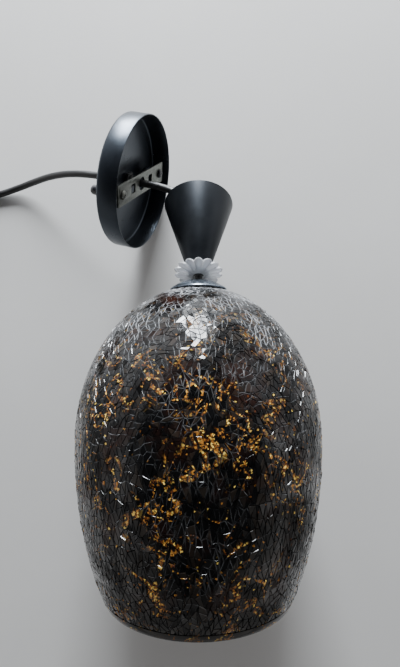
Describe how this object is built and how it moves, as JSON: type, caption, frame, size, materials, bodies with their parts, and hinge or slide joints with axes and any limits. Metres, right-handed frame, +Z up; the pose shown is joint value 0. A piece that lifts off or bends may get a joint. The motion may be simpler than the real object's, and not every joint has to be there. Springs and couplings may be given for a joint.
{
  "type": "pendant lamp",
  "caption": "Hanging lamp laid on its side: egg-shaped crackle-mosaic glass shade, domed cap, crystal rosette, loose cone cover and ceiling canopy on a cord.",
  "frame": {"origin": "on the floor under the middle of the lamp without its free cord, the lamp lying on its side", "axes": "+Z up from the floor, +Y along the shade's axis towards its cap, level, +X to the right of that; the canopy stands on the -X side"},
  "size_m": [0.4037, 0.413, 0.2006],
  "materials": {
    "mosaic": "crackle glass chips in dark grout, glossy",
    "blank_glass": "smoked glass, glossy",
    "black_metal": "satin black paint",
    "cap_black": "gloss black paint",
    "zinc": "zinc plate, dull",
    "brass": "plain",
    "crystal": "clear pressed glass",
    "gasket": "matt",
    "holder_plastic": "moulded, semi-gloss",
    "ceramic": "glazed",
    "nylon": "moulded",
    "cord": "smooth PVC sheath",
    "core_brown": "PVC insulation",
    "core_blue": "PVC insulation",
    "core_green": "PVC insulation"
  },
  "bodies": {
    "lamp": {"mosaic_skin": "mosaic", "rim_band": "blank_glass", "glass_blank": "blank_glass", "cap_dome": "cap_black", "upper_gasket": "gasket", "lower_gasket": "gasket", "fitter_plate": "zinc", "rod_lock_nut": "zinc", "hollow_rod": "zinc", "holder_cap": "holder_plastic", "holder_body": "holder_plastic", "ceramic_insert": "ceramic", "terminal_screw_left": "brass", "terminal_screw_right": "brass", "screw_shell": "brass", "side_contact": "brass", "lead_in_rod": "cord", "live_core": "core_brown", "neutral_core": "core_blue", "cord_run": "cord", "cord_coil": "cord", "cord_tail": "cord", "tail_core_live": "core_brown", "tail_core_neutral": "core_blue", "tail_core_earth": "core_green", "tail_ferrule_live": "zinc", "tail_ferrule_neutral": "zinc", "tail_ferrule_earth": "zinc"},
    "swivel": {"crystal_rosette": "crystal"},
    "cone": {"cone_cover": "black_metal"},
    "canopy": {"canopy_cup": "black_metal", "crossbar": "zinc", "stud_upper": "zinc", "stud_lower": "zinc", "cord_grip": "nylon", "cord_grip_nut": "nylon"},
    "nut_upper": {"cap_nut_upper": "cap_black"},
    "nut_lower": {"cap_nut_lower": "cap_black"},
    "contact": {"centre_contact": "brass"},
    "ring": {"shade_ring": "holder_plastic"}
  },
  "joints": [
    {"name": "cone_tilt", "type": "hinge", "parent": "lamp", "child": "swivel", "pos_m": [0, 0.05867, 0.09065], "axis": [1, 0, 0], "range_deg": [0, 25], "deforming": ["cord_run"]},
    {"name": "cone_spin", "type": "hinge", "parent": "swivel", "child": "cone", "pos_m": [0, 0.05867, 0.09065], "axis": [0, 0.8746, -0.4848], "continuous": true},
    {"name": "canopy_turn", "type": "hinge", "parent": "lamp", "child": "canopy", "pos_m": [-0.0486, 0.145, 0.0619], "axis": [0.9454, -0.2357, 0.225], "continuous": true},
    {"name": "upper_nut_turn", "type": "hinge", "parent": "canopy", "child": "nut_upper", "pos_m": [-0.0795, 0.12965, 0.08987], "axis": [0.9454, -0.2357, 0.225], "continuous": true},
    {"name": "lower_nut_turn", "type": "hinge", "parent": "canopy", "child": "nut_lower", "pos_m": [-0.0542, 0.16945, 0.02525], "axis": [0.9454, -0.2357, 0.225], "continuous": true},
    {"name": "contact_press", "type": "slide", "parent": "lamp", "child": "contact", "axis": [0, 0.9976, -0.0698], "range_m": [0, 0.0015], "stiffness_N_per_m": 100, "springref_m": -0.002},
    {"name": "ring_turn", "type": "hinge", "parent": "lamp", "child": "ring", "pos_m": [0, 0.008, 0.09419], "axis": [0, 0.9976, -0.0698], "continuous": true}
  ]
}
